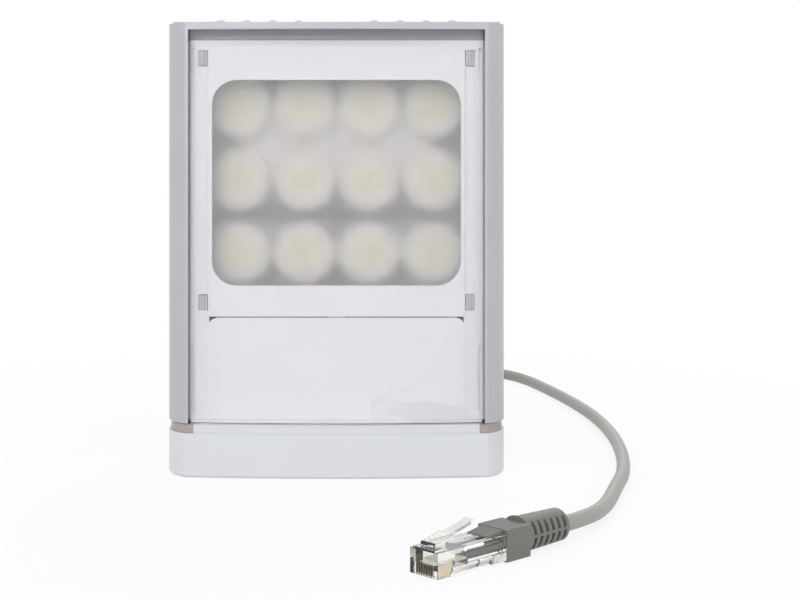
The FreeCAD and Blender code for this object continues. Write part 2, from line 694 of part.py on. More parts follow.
def make_board_screws():
    face, head = -board_front(), size("board_head_height")
    return group([fuse([cylinder(size("board_head_radius"), (x, face - head, z), head),
                        cylinder(SCREW_RADIUS, (x, face - OVERLAP, z),
                                 size("board_screw_length") + OVERLAP)])
                  for x, z in board_screw_places()])


def board_front():
    return size("web_front") + size("pad_thickness") + size("board_thickness")


def make_emitter(x, z):
    """A ceramic square with its domed lens."""
    front, half, high = board_front(), size("emitter_half"), size("emitter_height")
    base = box((x - half, x + half), (-front - high, -front), (z - half, z + half))
    ball = doc.addObject("Part::Sphere", "dome")
    bind(ball, "Radius", size("dome_radius"))
    place(ball, x, -front - high, z)
    dome = common(ball, box((x - half, x + half), (-front - AHEAD, -front), (z - half, z + half)))
    return fuse([base, dome])


def make_optic(x, z):
    """A collimating optic: a cone with a recess for the emitter and a flange in front."""
    base, flange = size("optic_base"), size("optic_flange")
    front, radius = size("optic_front") - flange, size("optic_radius")
    depth = size("recess_depth")
    body = cone(radius, size("optic_base_radius"), (x, -front, z), front - base)
    recess = cylinder(size("recess_radius"), (x, -base - depth, z), depth + OVERLAP)
    return cut(fuse([body, cylinder(radius, (x, -front - flange, z), flange)]), [recess])


def make_optic_tray(places, low, high):
    """Rings that grip the optics' flanges, joined by a plate. It stands on the board."""
    front, rear = size("optic_front"), board_front()
    side, tail = size("led_pitch_wide") * 1.5, size("tail_half") + HOLE_GAP
    plate = box((-side, side), (-size("tray_front"), -size("tray_rear")), (low, high))
    rings = [cylinder(size("holder_radius"), (x, -front, z), front - rear) for x, z in places]
    bores = [cylinder(size("optic_radius") + size("optic_gap"), (x, -front - OVERLAP, z),
                      front - rear + 2 * OVERLAP) for x, z in places]
    ribbon_way = box((-tail, tail), (-rear - size("ribbon_thickness") - HOLE_GAP, -rear + OVERLAP),
                     (size("tail_low"), size("ribbon_low")))
    return cut(fuse([plate] + rings), bores + [ribbon_way])


def make_optic_trays():
    """A tray for the lowest row, and one for the two rows above it."""
    places = led_places()
    middle, pitch = size("led_middle"), size("led_pitch_tall")
    strip = size("tray_strip_half")
    return group([make_optic_tray(places[:4], middle - pitch - strip, middle - pitch + strip),
                  make_optic_tray(places[4:], middle, middle + pitch)])


def make_supply_ribbon():
    """Flat lead across the board between the lower rows, with a tail down to the driver."""
    face, half, tail = board_front(), size("ribbon_half"), size("tail_half")
    depth = (-face - size("ribbon_thickness"), -face)
    low, high = size("ribbon_low"), size("ribbon_high")
    return fuse([box((-half, half), depth, (low, high)),
                 box((-tail, tail), depth, (size("tail_low"), low + OVERLAP))])


def driver_corners():
    side, inset = size("standoff_side"), size("standoff_inset")
    return [(x, z) for x in (-side, side)
            for z in (size("driver_low") + inset, size("driver_high") - inset)]


def make_driver_board():
    half, front, rear = size("driver_half"), size("driver_front"), size("driver_rear")
    plate = box((-half, half), (front, rear), (size("driver_low"), size("driver_high")))
    through = rear - front + 2 * OVERLAP
    holes = [cylinder(size("driver_screw"), (x, front - OVERLAP, z), through)
             for x, z in driver_corners()]
    holes.append(cylinder(size("lead_hole"), gland_axis(front - OVERLAP), through))
    return cut(plate, holes)


def make_driver_standoffs():
    start, length = size("driver_rear"), size("chamber_rear") - size("driver_rear")
    bore, depth = size("driver_screw"), size("driver_screw_length")
    return group([cut(cylinder(size("standoff_radius"), (x, start, z), length),
                      [cylinder(bore, (x, start - OVERLAP, z), depth)])
                  for x, z in driver_corners()])


def make_driver_screws():
    front, head = size("driver_front"), size("driver_head_height")
    return group([fuse([cylinder(size("driver_head_radius"), (x, front - head, z), head),
                        cylinder(size("driver_screw"), (x, front - OVERLAP, z),
                                 size("driver_screw_length") + OVERLAP)])
                  for x, z in driver_corners()])


def on_driver(x, z, height):
    """A block that stands on the driver board, between pairs of planes."""
    return box(x, (size("driver_front") - height, size("driver_front")), z)


def make_transformer():
    """A ferrite core round a wound bobbin."""
    far, near, low, high = -size("core_far"), -size("core_near"), size("core_low"), size("core_high")
    limb, yoke = size("core_limb"), size("core_yoke")
    window = ((far + limb, near - limb), (low + yoke, high - yoke))
    core = cut(on_driver((far, near), (low, high), size("core_height")),
               [box(window[0], (-AHEAD, AHEAD), window[1])])
    return fuse([core, on_driver(*window, size("bobbin_height"))])


def make_inductor():
    """A wound ring, on its end."""
    x, z = INDUCTOR_PLACE
    high = size("inductor_height")
    start = size("driver_front") - high
    return cut(cylinder(size("inductor_radius"), (x, start, z), high),
               [cylinder(size("inductor_bore"), (x, start - OVERLAP, z), high + 2 * OVERLAP)])


def make_capacitors():
    high = size("capacitor_height")
    return group([cylinder(size("capacitor_radius"), (x, size("driver_front") - high, z), high)
                  for x, z in CAPACITOR_PLACES])


def make_power_chips():
    return group([on_driver((x, size("chip_length") + x), (z, size("chip_width") + z), size("chip_height"))
                  for x, z in CHIP_PLACES])


def make_supply_connector():
    half = size("supply_half")
    return on_driver((-half, half), (size("supply_low"), size("supply_high")), size("supply_height"))


def make_lead_connector():
    """The block inside that the network lead plugs into."""
    side, height = size("gland_side"), size("gland_height")
    half, tall = size("socket_half"), size("socket_height")
    block = on_driver((side - half, side + half), (height - tall, height + tall), size("socket_depth"))
    return cut(block, [gland_piece(size("lead_diameter") / 2, -size("lead_start"), size("driver_rear"))])


def gland_axis(depth):
    return (size("gland_side"), as_term(depth), size("gland_height"))


def gland_piece(radius, start, end):
    """A cylinder on the gland's axis between two planes."""
    return cylinder(radius, gland_axis(start), as_term(end) - start)


def lead_bore():
    """The lead's own room through the gland."""
    return gland_piece(size("lead_diameter") / 2, size("driver_rear"), size("lead_exit") + OVERLAP)


def make_gland_body():
    """Threaded barrel through the wall, a hexagon outside and a barrel for the nut."""
    wall, barrel_end = size("chamber_rear") + size("chamber_wall"), size("barrel_end")
    body = fuse([gland_piece(size("gland_thread"), size("gland_inner"), wall + OVERLAP),
                 prism(6, size("hexagon_radius"), gland_axis(wall), size("hexagon_length")),
                 gland_piece(size("barrel_radius"), wall + OVERLAP, barrel_end)])
    room = gland_piece(size("seal_radius"), size("seal_start"), barrel_end + OVERLAP)
    return cut(body, [lead_bore(), room])


def make_gland_locknut():
    start = size("chamber_rear") - size("locknut_length")
    return cut(prism(6, size("locknut_radius"), gland_axis(start), size("locknut_length")),
               [gland_piece(size("gland_thread"), start - OVERLAP, size("chamber_rear") + OVERLAP)])


def make_gland_seal():
    return cut(gland_piece(size("seal_radius"), size("seal_start"), size("seal_end")), [lead_bore()])


def make_gland_nut():
    """Dome nut over the seal."""
    start, shoulder, end = size("nut_start"), size("nut_shoulder"), size("nut_end")
    body = fuse([prism(6, size("nut_radius"), gland_axis(start), shoulder - start),
                 cone(size("dome_wide"), size("dome_narrow"), gland_axis(shoulder), end - shoulder)])
    room = gland_piece(size("barrel_radius"), start - OVERLAP, size("seal_end"))
    return cut(body, [room, lead_bore()])


def make_gland_sleeve():
    """Tapered sleeve that keeps the lead from kinking, with its rings."""
    start, end = size("nut_end"), size("lead_exit")
    core = cone(size("sleeve_wide"), size("sleeve_narrow"), gland_axis(start), end - start)
    rings = [cylinder(size("ring_wide") - size("ring_step") * step,
                      gland_axis(start + size("ring_pitch") * step), size("ring_length"))
             for step in range(SLEEVE_RINGS)]
    return cut(fuse([core] + rings), [lead_bore()])


def on_plug(item):
    """Moves a piece from the plug's own frame, nose at the origin, to where the plug lies."""
    turn = FreeCAD.Rotation(FreeCAD.Vector(0, 0, 1), PLUG_TURN)
    item.Placement = FreeCAD.Placement(FreeCAD.Vector(), turn)
    return place(item, size("plug_nose_side"), -size("plug_nose_depth"), 0.0)


def contact_rows():
    return [(index - (CONTACTS - 1) / 2) * CONTACT_PITCH for index in range(CONTACTS)]


def plug_top():
    return size("plug_lift") + size("plug_height")


def make_plug_body():
    """Clear moulded plug: slots for the contacts, a bay for the wires and a bore for the jacket."""
    long, half, low, high = size("plug_length"), size("plug_width") / 2, size("plug_lift"), plug_top()
    ledge_half, recess = size("ledge_half"), size("top_recess_half")
    block = box((0.0, long), (-half, half), (low, high))
    ledge = box((0.0, size("ledge_length")), (-ledge_half, ledge_half),
                (high - size("ledge_rise"), high + size("ledge_rise")))
    slot, clearance = size("slot_half"), size("slot_clearance")
    tools = [box((-OVERLAP, size("contact_end") + clearance), (y - slot, slot + y),
                 (low - OVERLAP, size("contact_high") + HOLE_GAP)) for y in map(as_term, contact_rows())]
    bay = size("wire_bay_half")
    tools.append(box((size("bay_front"), size("bay_end")), (-bay, bay),
                     (size("wire_bay_low"), size("wire_bay_high"))))
    tools.append(cylinder(size("plug_bore"), (size("jacket_start"), 0.0, size("plug_axis")), long, "x"))
    along, up = (size("groove_front"), long - size("groove_stop")), (low - OVERLAP, size("groove_top"))
    inward = half - size("groove_inward")
    tools.append(box(along, (inward, half + OVERLAP), up))
    tools.append(box(along, (-half - OVERLAP, -inward), up))
    tools.append(box((size("top_recess_start"), long + OVERLAP), (-recess, recess),
                     (high - size("top_recess_depth"), high + OVERLAP)))
    return on_plug(cut(fuse([block, ledge]), tools))


def make_plug_contacts():
    half = size("contact_half")
    return on_plug(group([box((size("contact_front"), size("contact_end")), (y - half, half + y),
                              (size("contact_low"), size("contact_high")))
                          for y in map(as_term, contact_rows())]))


def make_plug_wires():
    start, end = size("bay_front") + size("wire_gap"), size("jacket_start") - size("wire_gap")
    radius, height = size("wire_radius"), size("wire_height")
    return on_plug(group([cylinder(radius, (start, y, height), end - start, "x")
                          for y in contact_rows()]))


def make_jacket_end():
    """The lead's jacket inside the plug and boot."""
    start, end = size("jacket_start"), size("plug_length") + size("boot_length")
    radius = size("lead_diameter") / 2
    return on_plug(group([cylinder(radius, (start, 0.0, size("plug_axis")), end - start, "x")]))


def make_plug_boot():
    """Moulded boot: a square front, a hood over the plug and a notched tapering tail."""
    start, half = size("plug_length"), size("boot_width") / 2
    high, whole, axis = size("boot_height"), size("boot_length"), size("boot_axis")
    block_end = start + size("boot_block")
    block = box((start, block_end), (-half, half), (0.0, high))
    end, rounding = start + whole, size("tail_round")
    tail = fuse([cone(size("shoulder_wide"), size("tail_wide"), (block_end, 0.0, axis),
                      size("shoulder_length"), "x"),
                 cone(size("tail_wide"), size("tail_narrow"), (block_end, 0.0, axis),
                      end - rounding - block_end, "x"),
                 cone(size("tail_narrow"), size("tail_end"), (end - rounding, 0.0, axis), rounding, "x")])
    tail = common(tail, box((start, end + OVERLAP), (-half, half), (0.0, AHEAD)))
    bore = cylinder(size("lead_diameter") / 2, (start - OVERLAP, 0.0, size("plug_axis")),
                    whole + 2 * OVERLAP, "x")
    whole_boot = fuse([block, tail, make_boot_hood(start)])
    return on_plug(cut(whole_boot, make_boot_notches(start) + [bore]))


def make_boot_hood(start):
    """The tongue that covers the top of the plug and slopes down to its front."""
    front, half = size("hood_start"), size("hood_half")
    low, high = size("hood_low"), size("boot_height")
    body = new_body()
    pad(body, "XZ_Plane", -half, [[(front, low), (start + OVERLAP, low), (start + OVERLAP, high),
                                   (front, size("hood_front_top"))]], half * 2)
    return body


def make_boot_notches(start):
    """Notches on both sides of the tail, in two rows, which let it bend."""
    tall, core, outside = size("notch_height"), size("notch_core"), size("boot_width")
    lower = size("notch_low")
    upper = lower + tall + size("notch_split")
    notches = []
    for step in range(NOTCHES):
        near = start + size("notch_first") + size("notch_pitch") * step
        along = (near, near + size("notch_length"))
        for low in (lower, upper):
            notches.append(box(along, (core, outside), (low, low + tall)))
            notches.append(box(along, (-outside, -core), (low, low + tall)))
    return notches


def make_plug_latch():
    """Latch lever: a round root, a wide part with its step and a narrow thumb end."""
    along, up = size("latch_along"), size("latch_up")
    thick, step = size("latch_thickness").value, size("latch_step").value
    root_half = size("latch_root_half")
    root = cylinder(size("latch_root_radius"), (along, -root_half, up), root_half * 2)
    slope = FreeCAD.Rotation(FreeCAD.Vector(0, 1, 0), -LATCH_ANGLE)
    pieces = []
    for near, far, half in ((0.0, step, size("latch_wide_half")),
                            (step - 0.5, size("latch_length").value, size("latch_narrow_half"))):
        plate = box((near, far), (-half, half), (0.0, thick))
        plate.Placement = FreeCAD.Placement(FreeCAD.Vector(), slope)
        shift = slope.multVec(FreeCAD.Vector(near, 0, -thick / 2))
        place(plate, along + shift.x, -half, up + shift.z)
        pieces.append(plate)
    return on_plug(fuse([root] + pieces))


def route_wire(points):
    """Straight runs joined by tangent arcs; prints each arc's radius."""
    corners = [FreeCAD.Vector(*point) for point in points]
    edges = []
    radii = []
    last = corners[0]
    for before, corner, after in zip(corners, corners[1:], corners[2:]):
        way_in = (corner - before).normalize()
        way_out = (after - corner).normalize()
        turn = way_in.getAngle(way_out)
        reach = 0.45 * min((corner - before).Length, (after - corner).Length)
        radius = reach / math.tan(turn / 2)
        radii.append(round(radius, 1))
        start = corner - way_in * reach
        end = corner + way_out * reach
        towards = (way_out - way_in).normalize()
        centre = corner + towards * math.hypot(reach, radius)
        middle = centre - towards * radius
        edges.append(Part.LineSegment(last, start).toShape())
        edges.append(Part.Arc(start, middle, end).toShape())
        last = end
    edges.append(Part.LineSegment(last, corners[-1]).toShape())
    print("lead arc radii", radii)
    return Part.Wire(edges)


def make_network_lead():
    """The lead from the gland sleeve, down to the ground and round to the boot."""
    radius = size("lead_diameter").value / 2
    wire = route_wire(LEAD_ROUTE)
    start = FreeCAD.Vector(*LEAD_ROUTE[0])
    way = FreeCAD.Vector(*LEAD_ROUTE[1]) - start
    section = Part.Wire(Part.makeCircle(radius, start, way))
    item = doc.addObject("Part::Feature", "network_lead")
    item.Shape = wire.makePipeShell([section], True, False)
    expected = math.pi * radius ** 2 * wire.Length
    print("lead length", round(wire.Length, 1), "volume", round(item.Shape.Volume / expected, 4))
    assert abs(item.Shape.Volume / expected - 1) < 0.01
    return item


def make_all():
    node(make_rear_housing(), "rear_housing")
    node(make_front_cover(), "front_cover")
    node(make_cover_bezel(), "cover_bezel")
    node(make_cover_seal(), "cover_seal")
    node(make_bottom_cap(), "bottom_cap")
    node(make_cap_gasket(), "cap_gasket")
    node(make_cap_screws(), "cap_screws")
    node(make_fascia(), "fascia")
    node(make_top_baffle(), "top_baffle")
    node(make_lens_frame(), "lens_frame")
    node(make_diffuser_lens(), "diffuser_lens")
    node(make_lower_panel(), "lower_panel")
    for level, height in (("top", size("clip_upper")), ("bottom", size("clip_lower"))):
        for side, word in ((-1, "left"), (1, "right")):
            node(make_lens_clip(side, height), f"lens_clip_{level}_{word}")
    pad_front = size("web_front") + size("pad_thickness")
    node(board_plate(pad_front, size("web_front")), "thermal_pad")
    node(board_plate(board_front(), pad_front), "led_board")
    node(make_board_screws(), "board_screws")
    node(group([make_emitter(x, z) for x, z in led_places()]), "led_emitters")
    node(group([make_optic(x, z) for x, z in led_places()]), "led_optics")
    node(make_optic_trays(), "optic_holders")
    node(make_supply_ribbon(), "led_supply_ribbon")
    node(make_driver_board(), "driver_board")
    node(make_driver_standoffs(), "driver_standoffs")
    node(make_driver_screws(), "driver_screws")
    node(make_transformer(), "transformer")
    node(make_inductor(), "inductor")
    node(make_capacitors(), "capacitors")
    node(make_power_chips(), "power_chips")
    node(make_supply_connector(), "supply_connector")
    node(make_lead_connector(), "lead_connector")
    node(make_gland_body(), "gland_body")
    node(make_gland_locknut(), "gland_locknut")
    node(make_gland_seal(), "gland_seal")
    node(make_gland_nut(), "gland_nut")
    node(make_gland_sleeve(), "gland_sleeve")
    inner_lead = gland_piece(size("lead_diameter") / 2, -size("lead_start"), size("lead_exit"))
    node(inner_lead, "inner_lead")
    node(make_network_lead(), "network_lead")
    node(make_plug_boot(), "plug_boot")
    node(make_plug_body(), "plug_body")
    node(make_plug_contacts(), "plug_contacts")
    node(make_plug_wires(), "plug_wires")
    node(make_jacket_end(), "plug_jacket_end")
    node(make_plug_latch(), "plug_latch")


def check_and_write():
    """Every object has to be sound before a file is written."""
    doc.recompute()
    for item in doc.Objects:
        assert "Invalid" not in item.State and "Error" not in item.State, item.Name
    os.makedirs("parts", exist_ok=True)
    for item in NODES:
        shape = item.Shape
        assert not shape.isNull() and shape.isValid(), item.Label
        solids = len(shape.Solids)
        print(f"{item.Label:26s} solids {solids:3d}  volume {shape.Volume / 1000:9.3f} cm3")
        assert solids > 0 and shape.Volume > 0, item.Label
        shape.exportStep(f"parts/{item.Label}.step")


doc = FreeCAD.newDocument("illuminator")
sheet = doc.addObject("Spreadsheet::Sheet", "Size")
for row, (alias, number) in enumerate(SIZES.items(), start=1):
    sheet.set(f"A{row}", str(number))
    sheet.setAlias(f"A{row}", alias)
doc.recompute()
make_all()
check_and_write()
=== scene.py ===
# %% [markdown]
# A white light illuminator in Blender.
# The fitting lights a scene for a camera. A light alloy housing carries twelve LEDs behind a
# frosted window, a clear cover closes the front and a white cap closes the foot. A short grey
# network lead comes out of the back and ends in a clear modular plug. The solids are loaded
# first, as a fixed frame, and everything below is placed from them.

# %% Load the frame
import math

import bmesh
import bpy
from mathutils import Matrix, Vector
from mathutils.geometry import area_tri


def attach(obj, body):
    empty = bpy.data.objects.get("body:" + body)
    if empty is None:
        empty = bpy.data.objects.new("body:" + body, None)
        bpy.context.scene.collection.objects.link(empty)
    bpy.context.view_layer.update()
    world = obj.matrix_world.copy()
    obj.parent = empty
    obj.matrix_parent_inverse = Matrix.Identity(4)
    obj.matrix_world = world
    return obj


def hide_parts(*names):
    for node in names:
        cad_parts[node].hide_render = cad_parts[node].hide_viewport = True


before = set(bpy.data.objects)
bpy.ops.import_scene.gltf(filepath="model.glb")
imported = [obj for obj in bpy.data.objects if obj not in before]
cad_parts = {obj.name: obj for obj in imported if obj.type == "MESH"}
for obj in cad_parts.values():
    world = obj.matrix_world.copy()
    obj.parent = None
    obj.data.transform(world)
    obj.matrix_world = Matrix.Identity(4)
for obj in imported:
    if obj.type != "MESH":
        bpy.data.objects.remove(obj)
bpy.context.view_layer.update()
HOME = "illuminator"

# %% [markdown]
# Lengths are easier to read in millimetres and colours in hex, as a paint chart gives them.
# Blender works in metres and in linear light, so two small functions turn one into the other.


# %% Millimetres and hex colours
def mm(*lengths):
    """Millimetres to metres: one number, or a vector of three."""
    scaled = [length / 1000 for length in lengths]
    return scaled[0] if len(scaled) == 1 else Vector(scaled)


def hex_colour(text):
    """An sRGB hex value as linear red, green, blue and alpha."""
    parts = [int(text[place:place + 2], 16) / 255 for place in (0, 2, 4)]
    linear = [p / 12.92 if p <= 0.04045 else ((p + 0.055) / 1.055) ** 2.4 for p in parts]
    return (*linear, 1.0)


# %% [markdown]
# The photograph was taken square to the front, with the lens level at nearly three quarters of
# the housing's height, and the picture then framed lower and further right. A level camera
# keeps the housing's sides upright, so the framing is done with a small shift and not with a
# tilt. Columns, rows and the focal length are in pixels, the other lengths in millimetres.

# %% The camera
PHOTO_WIDTH, PHOTO_HEIGHT = 800, 600
AXIS_COLUMN, HORIZON_ROW = 336.5, 145.0
FOCAL_PIXELS = 1522.0
LENS_HEIGHT, LENS_DISTANCE = 131.5, 634.0
SENSOR_WIDTH = 36.0

camera_data = bpy.data.cameras.new("camera")
camera = bpy.data.objects.new("camera", camera_data)
bpy.context.scene.collection.objects.link(camera)
camera.location = mm(0, -LENS_DISTANCE, LENS_HEIGHT)
camera.rotation_euler = (math.radians(90), 0, 0)
camera_data.sensor_width = SENSOR_WIDTH
camera_data.lens = SENSOR_WIDTH * FOCAL_PIXELS / PHOTO_WIDTH
camera_data.shift_x = (PHOTO_WIDTH / 2 - AXIS_COLUMN) / PHOTO_WIDTH
camera_data.shift_y = (HORIZON_ROW - PHOTO_HEIGHT / 2) / PHOTO_WIDTH
bpy.context.scene.camera = camera
bpy.context.scene.view_settings.view_transform = "Standard"
print("lens", round(camera_data.lens, 1), "mm")

# %% [markdown]
# The lead is a round network cable, 5.4 mm thick. It leaves a tapered sleeve behind the
# housing, sinks to the ground, turns round in one open loop and comes forward past the right
# side to the plug. A NURBS line of order 3 runs smoothly inside the corners of its route, as a
# springy cable does, so only the corners are written down. The thickness sits in each point's
# radius, on a bevel of depth 1, because Blender adds that radius to the line's own box.

# %% The network lead
LEAD_THICKNESS = 5.4
GROUND = 2.75
LEAD_ROUTE = [
    (32.0, 62.0, 45.0), (32.0, 79.0, 45.0), (32.4, 104.0, 34.5), (33.2, 130.0, 16.5),
    (33.8, 156.0, GROUND), (34.4, 186.0, GROUND), (35.0, 210.0, GROUND), (48.5, 229.0, GROUND),
    (70.0, 236.0, GROUND), (91.0, 227.5, GROUND), (103.0, 206.0, GROUND), (110.5, 172.0, GROUND),
    (117.5, 133.0, GROUND), (122.5, 90.0, GROUND), (123.0, 45.0, GROUND), (119.5, 2.0, GROUND),
    (113.0, -36.0, GROUND), (105.5, -60.0, GROUND), (96.0, -92.0, GROUND), (85.008, -117.44, 5.0),
    (74.038, -127.67, 5.0),
]
CURVE_ORDER = 3
STEPS_ALONG, STEPS_AROUND = 12, 8

lead_curve = bpy.data.curves.new("network_lead_line", "CURVE")
lead_curve.dimensions = "3D"
lead_curve.bevel_depth = 1.0
lead_curve.bevel_resolution = STEPS_AROUND
lead_spline = lead_curve.splines.new("NURBS")
lead_spline.points.add(len(LEAD_ROUTE) - 1)
for point, corner in zip(lead_spline.points, LEAD_ROUTE):
    point.co = (*mm(*corner), 1.0)
    point.radius = mm(LEAD_THICKNESS / 2)
lead_spline.order_u = CURVE_ORDER
lead_spline.use_endpoint_u = True
lead_spline.resolution_u = STEPS_ALONG
lead = bpy.data.objects.new("network_lead_jacket", lead_curve)
bpy.context.scene.collection.objects.link(lead)
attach(lead, HOME)
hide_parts("network_lead")
print("the lead turns at", len(LEAD_ROUTE), "corners")

# %% [markdown]
# The world and every material are trees of nodes. One small function adds a node together with
# its settings and links, so each tree below reads from top to bottom like a recipe.


# %% One function for every node
def add(tree, kind, inputs=None, **settings):
    """Adds a node. An input is a value, or another node's output that is linked to it."""
    node = tree.nodes.new(kind)
    for name, value in settings.items():
        setattr(node, name, value)
    for key, value in (inputs or {}).items():
        if isinstance(value, bpy.types.NodeSocket):
            tree.links.new(value, node.inputs[key])
        else:
            node.inputs[key].default_value = value
    return node


# %% [markdown]
# A product picture like this is lit by large soft lamps in a white room. The floor and the
# room look white to the lens, and to anything glossy or clear, while the light that they give
# is lower, so that white plastic keeps its shading.

# %% The white room
ROOM_LIGHT = 0.66
world = bpy.data.worlds.new("studio")
bpy.context.scene.world = world
world.use_nodes = True
room = world.node_tree
room.nodes.clear()


def seen_directly(tree):
    """1 for a ray that the lens, a mirror or a clear sheet sends out, and 0 for any other."""
    path = add(tree, "ShaderNodeLightPath")
    either = add(tree, "ShaderNodeMath", {0: path.outputs["Is Camera Ray"],
                                          1: path.outputs["Is Glossy Ray"]}, operation="MAXIMUM")
    return add(tree, "ShaderNodeMath", {0: either.outputs[0],
                                        1: path.outputs["Is Transmission Ray"]},
               operation="MAXIMUM").outputs[0]


glow = add(room, "ShaderNodeBackground", {"Color": hex_colour("fafafc"), "Strength": ROOM_LIGHT})
white = add(room, "ShaderNodeBackground", {"Color": (1, 1, 1, 1), "Strength": 1.0})
lit_or_seen = add(room, "ShaderNodeMixShader", {0: seen_directly(room), 1: glow.outputs[0],
                                                2: white.outputs[0]})
add(room, "ShaderNodeOutputWorld", {0: lit_or_seen.outputs[0]})
print("the room lights at", ROOM_LIGHT, "of the white that it shows")

# %% [markdown]
# The floor darkens a little round the housing, so that it stands there and doesn't float, and
# further out it fades into the white of the room. It lies a hair below the cap's face, because
# two faces in one plane would flicker. The lengths here are in metres.

# %% The floor
FLOOR_HALF_WIDTH, FLOOR_DROP = 6.0, 0.0002
NEAR_SHARE = 0.82
NEAR_DISTANCE, FAR_DISTANCE = 0.12, 0.45

floor_bm = bmesh.new()
bmesh.ops.create_grid(floor_bm, x_segments=1, y_segments=1, size=FLOOR_HALF_WIDTH)
floor_mesh = bpy.data.meshes.new("floor")
floor_bm.to_mesh(floor_mesh)
floor_bm.free()
floor = bpy.data.objects.new("floor", floor_mesh)
floor.location = (0, 0, -FLOOR_DROP)
bpy.context.scene.collection.objects.link(floor)

paper = bpy.data.materials.new("white_paper_sweep")
paper.use_nodes = True
tree = paper.node_tree
tree.nodes.clear()
where = add(tree, "ShaderNodeTexCoord")
distance = add(tree, "ShaderNodeVectorMath", {0: where.outputs["Object"]}, operation="LENGTH")
fading = add(tree, "ShaderNodeMapRange", {0: distance.outputs["Value"], 1: NEAR_DISTANCE,
                                          2: FAR_DISTANCE, 3: NEAR_SHARE, 4: 1.0})
share = add(tree, "ShaderNodeMath", {0: seen_directly(tree), 1: fading.outputs[0]},
            operation="MULTIPLY")
matt = add(tree, "ShaderNodeBsdfDiffuse", {"Color": (1, 1, 1, 1)})
light = add(tree, "ShaderNodeEmission", {"Color": (1, 1, 1, 1), "Strength": 1.0})
both = add(tree, "ShaderNodeMixShader", {0: share.outputs[0], 1: matt.outputs[0],
                                         2: light.outputs[0]})
add(tree, "ShaderNodeOutputMaterial", {0: both.outputs[0]})
floor_mesh.materials.append(paper)
print("the floor fades to white from", NEAR_DISTANCE, "to", FAR_DISTANCE, "m out")

# %% [markdown]
# Three large square lamps do the rest. The key stands at the left front and draws the soft
# shadows, the fill opens them from the right, and the third lights the fins from behind.


# %% The lamps
def soft_lamp(name, place, aim, width, watts):
    """A square lamp at a place, turned to a point that it lights, both in metres."""
    data = bpy.data.lights.new(name, "AREA")
    data.shape = "SQUARE"
    data.size = width
    data.energy = watts
    lamp = bpy.data.objects.new(name, data)
    lamp.location = place
    lamp.rotation_euler = (Vector(aim) - Vector(place)).to_track_quat("-Z", "Y").to_euler()
    lamp.visible_camera = False
    bpy.context.scene.collection.objects.link(lamp)
    print(name, watts, "W")


MIDDLE = (0.0, 0.0, 0.09)
soft_lamp("key_lamp", (-0.42, -1.3, 0.86), MIDDLE, width=0.9, watts=7.7)
soft_lamp("fill_lamp", (0.95, -1.05, 0.55), MIDDLE, width=0.9, watts=1.9)
soft_lamp("back_lamp", (0.3, 1.2, 1.1), MIDDLE, width=0.8, watts=6.0)

# %% [markdown]
# Every finish starts from the Principled shader. What changes from one to the next is the
# colour, how rough it is and the fine relief, and those come from how the real surface was
# made. The relief patterns read Object coordinates, so they stay in the material wherever it
# goes, and their scale is worked out from a real grain size.


# %% A new finish
def new_finish(name):
    """A material with its tree and an output node, ready for a shader."""
    material = bpy.data.materials.new(name)
    material.use_nodes = True
    material.node_tree.nodes.clear()
    return material, material.node_tree


def grain_scale(size):
    """The Scale of a noise whose grains are about this many millimetres."""
    return 1000 / size


# %% [markdown]
# Moulded, cast and coated surfaces share one recipe. Broad clouds shift the colour between two
# near shades, and one fine grain gives both the relief and the small change in roughness.

# %% Moulded and coated surfaces
CLOUD_SIZE, CLOUD_DETAIL, GRAIN_DETAIL = 22.0, 3.0, 2.0
SMOOTHER, ROUGHER = 0.05, 0.07
RELIEF_STRENGTH = 0.5


def moulded(name, light_hex, dark_hex, roughness, grain, relief, cloud=CLOUD_SIZE, **settings):
    """A surface with two shades and a fine grain. grain, relief and cloud are millimetres."""
    material, tree = new_finish(name)
    where = add(tree, "ShaderNodeTexCoord").outputs["Object"]
    clouds = add(tree, "ShaderNodeTexNoise", {"Vector": where, "Scale": grain_scale(cloud),
                                              "Detail": CLOUD_DETAIL})
    colour = add(tree, "ShaderNodeMix", {0: clouds.outputs[0], 6: hex_colour(dark_hex),
                                         7: hex_colour(light_hex)}, data_type="RGBA")
    grains = add(tree, "ShaderNodeTexNoise", {"Vector": where, "Scale": grain_scale(grain),
                                              "Detail": GRAIN_DETAIL})
    rough = add(tree, "ShaderNodeMapRange", {0: grains.outputs[0], 3: roughness - SMOOTHER,
                                             4: roughness + ROUGHER})
    bump = add(tree, "ShaderNodeBump", {"Height": grains.outputs[0],
                                        "Strength": RELIEF_STRENGTH, "Distance": mm(relief)})
    shader = add(tree, "ShaderNodeBsdfPrincipled", {"Base Color": colour.outputs[2],
                                                    "Roughness": rough.outputs[0],
                                                    "Normal": bump.outputs[0], **settings})
    add(tree, "ShaderNodeOutputMaterial", {0: shader.outputs[0]})
    return material


# %% [markdown]
# The housing is a light alloy casting with a silver grey powder coat. Powder melts into a skin
# with a very fine pebbled relief, and fine metal flakes in it give a soft sheen.

# %% Powder coated casting
powder_coat = moulded("silver_powder_coat", "c2c4c8", "b8babf", 0.42, 0.5, 0.012, Metallic=0.35)

# %% [markdown]
# The bezel round the clear front is a moulding of its own, in ABS with a silver pigment. Its
# finish is finer than the powder coat, and the flakes give it the same soft sheen.

# %% Silver moulding
silver_abs = moulded("silver_pigmented_abs", "bdbec2", "b4b5b9", 0.34, 0.3, 0.004, Metallic=0.3)

# %% [markdown]
# The cap, the chassis behind the cover and the frame round the window are white ABS. The tool
# was lightly spark eroded, which leaves a fine even texture and takes the hard gloss away. The
# cap is a shade darker, and the four clips are left in a greyer natural colour.

